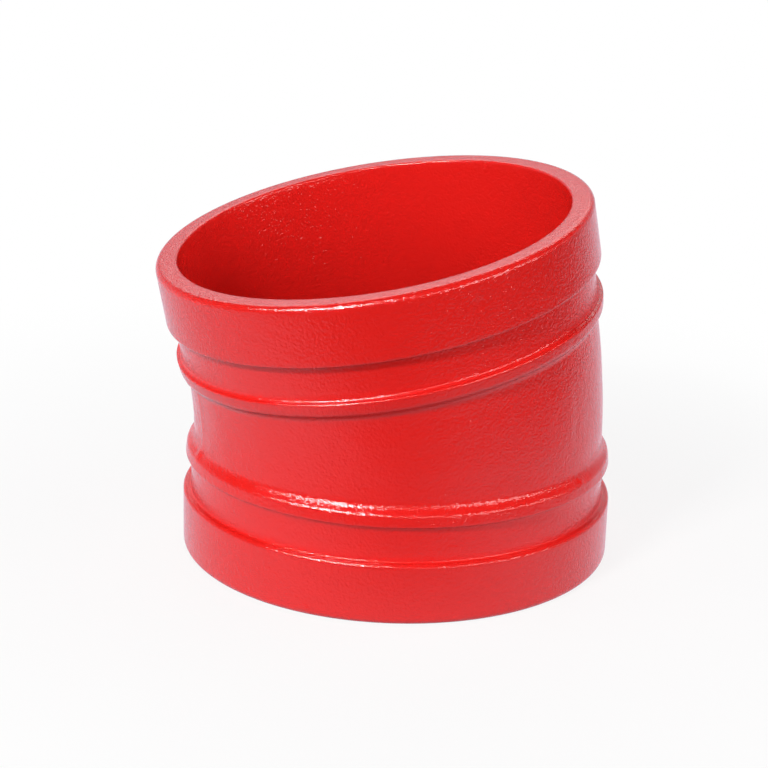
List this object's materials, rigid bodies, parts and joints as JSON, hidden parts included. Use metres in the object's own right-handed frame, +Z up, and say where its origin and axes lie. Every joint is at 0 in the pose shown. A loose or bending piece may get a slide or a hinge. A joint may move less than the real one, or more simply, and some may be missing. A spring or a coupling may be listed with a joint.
{
  "type": "grooved elbow",
  "caption": "Cast iron pipe elbow with an 11.25 degree bend, a coupling groove and a rib at each end, painted gloss red.",
  "frame": {"origin": "centre of the lower end face, on the lower end's axis", "axes": "+Z up along the lower end's axis; the bore bends 11.25 degrees from +Z towards -X, in the XZ plane"},
  "size_m": [0.1215, 0.1142, 0.0989],
  "materials": {
    "red_paint": "gloss"
  },
  "bodies": {
    "root": {"elbow_casting": "red_paint"}
  },
  "joints": []
}
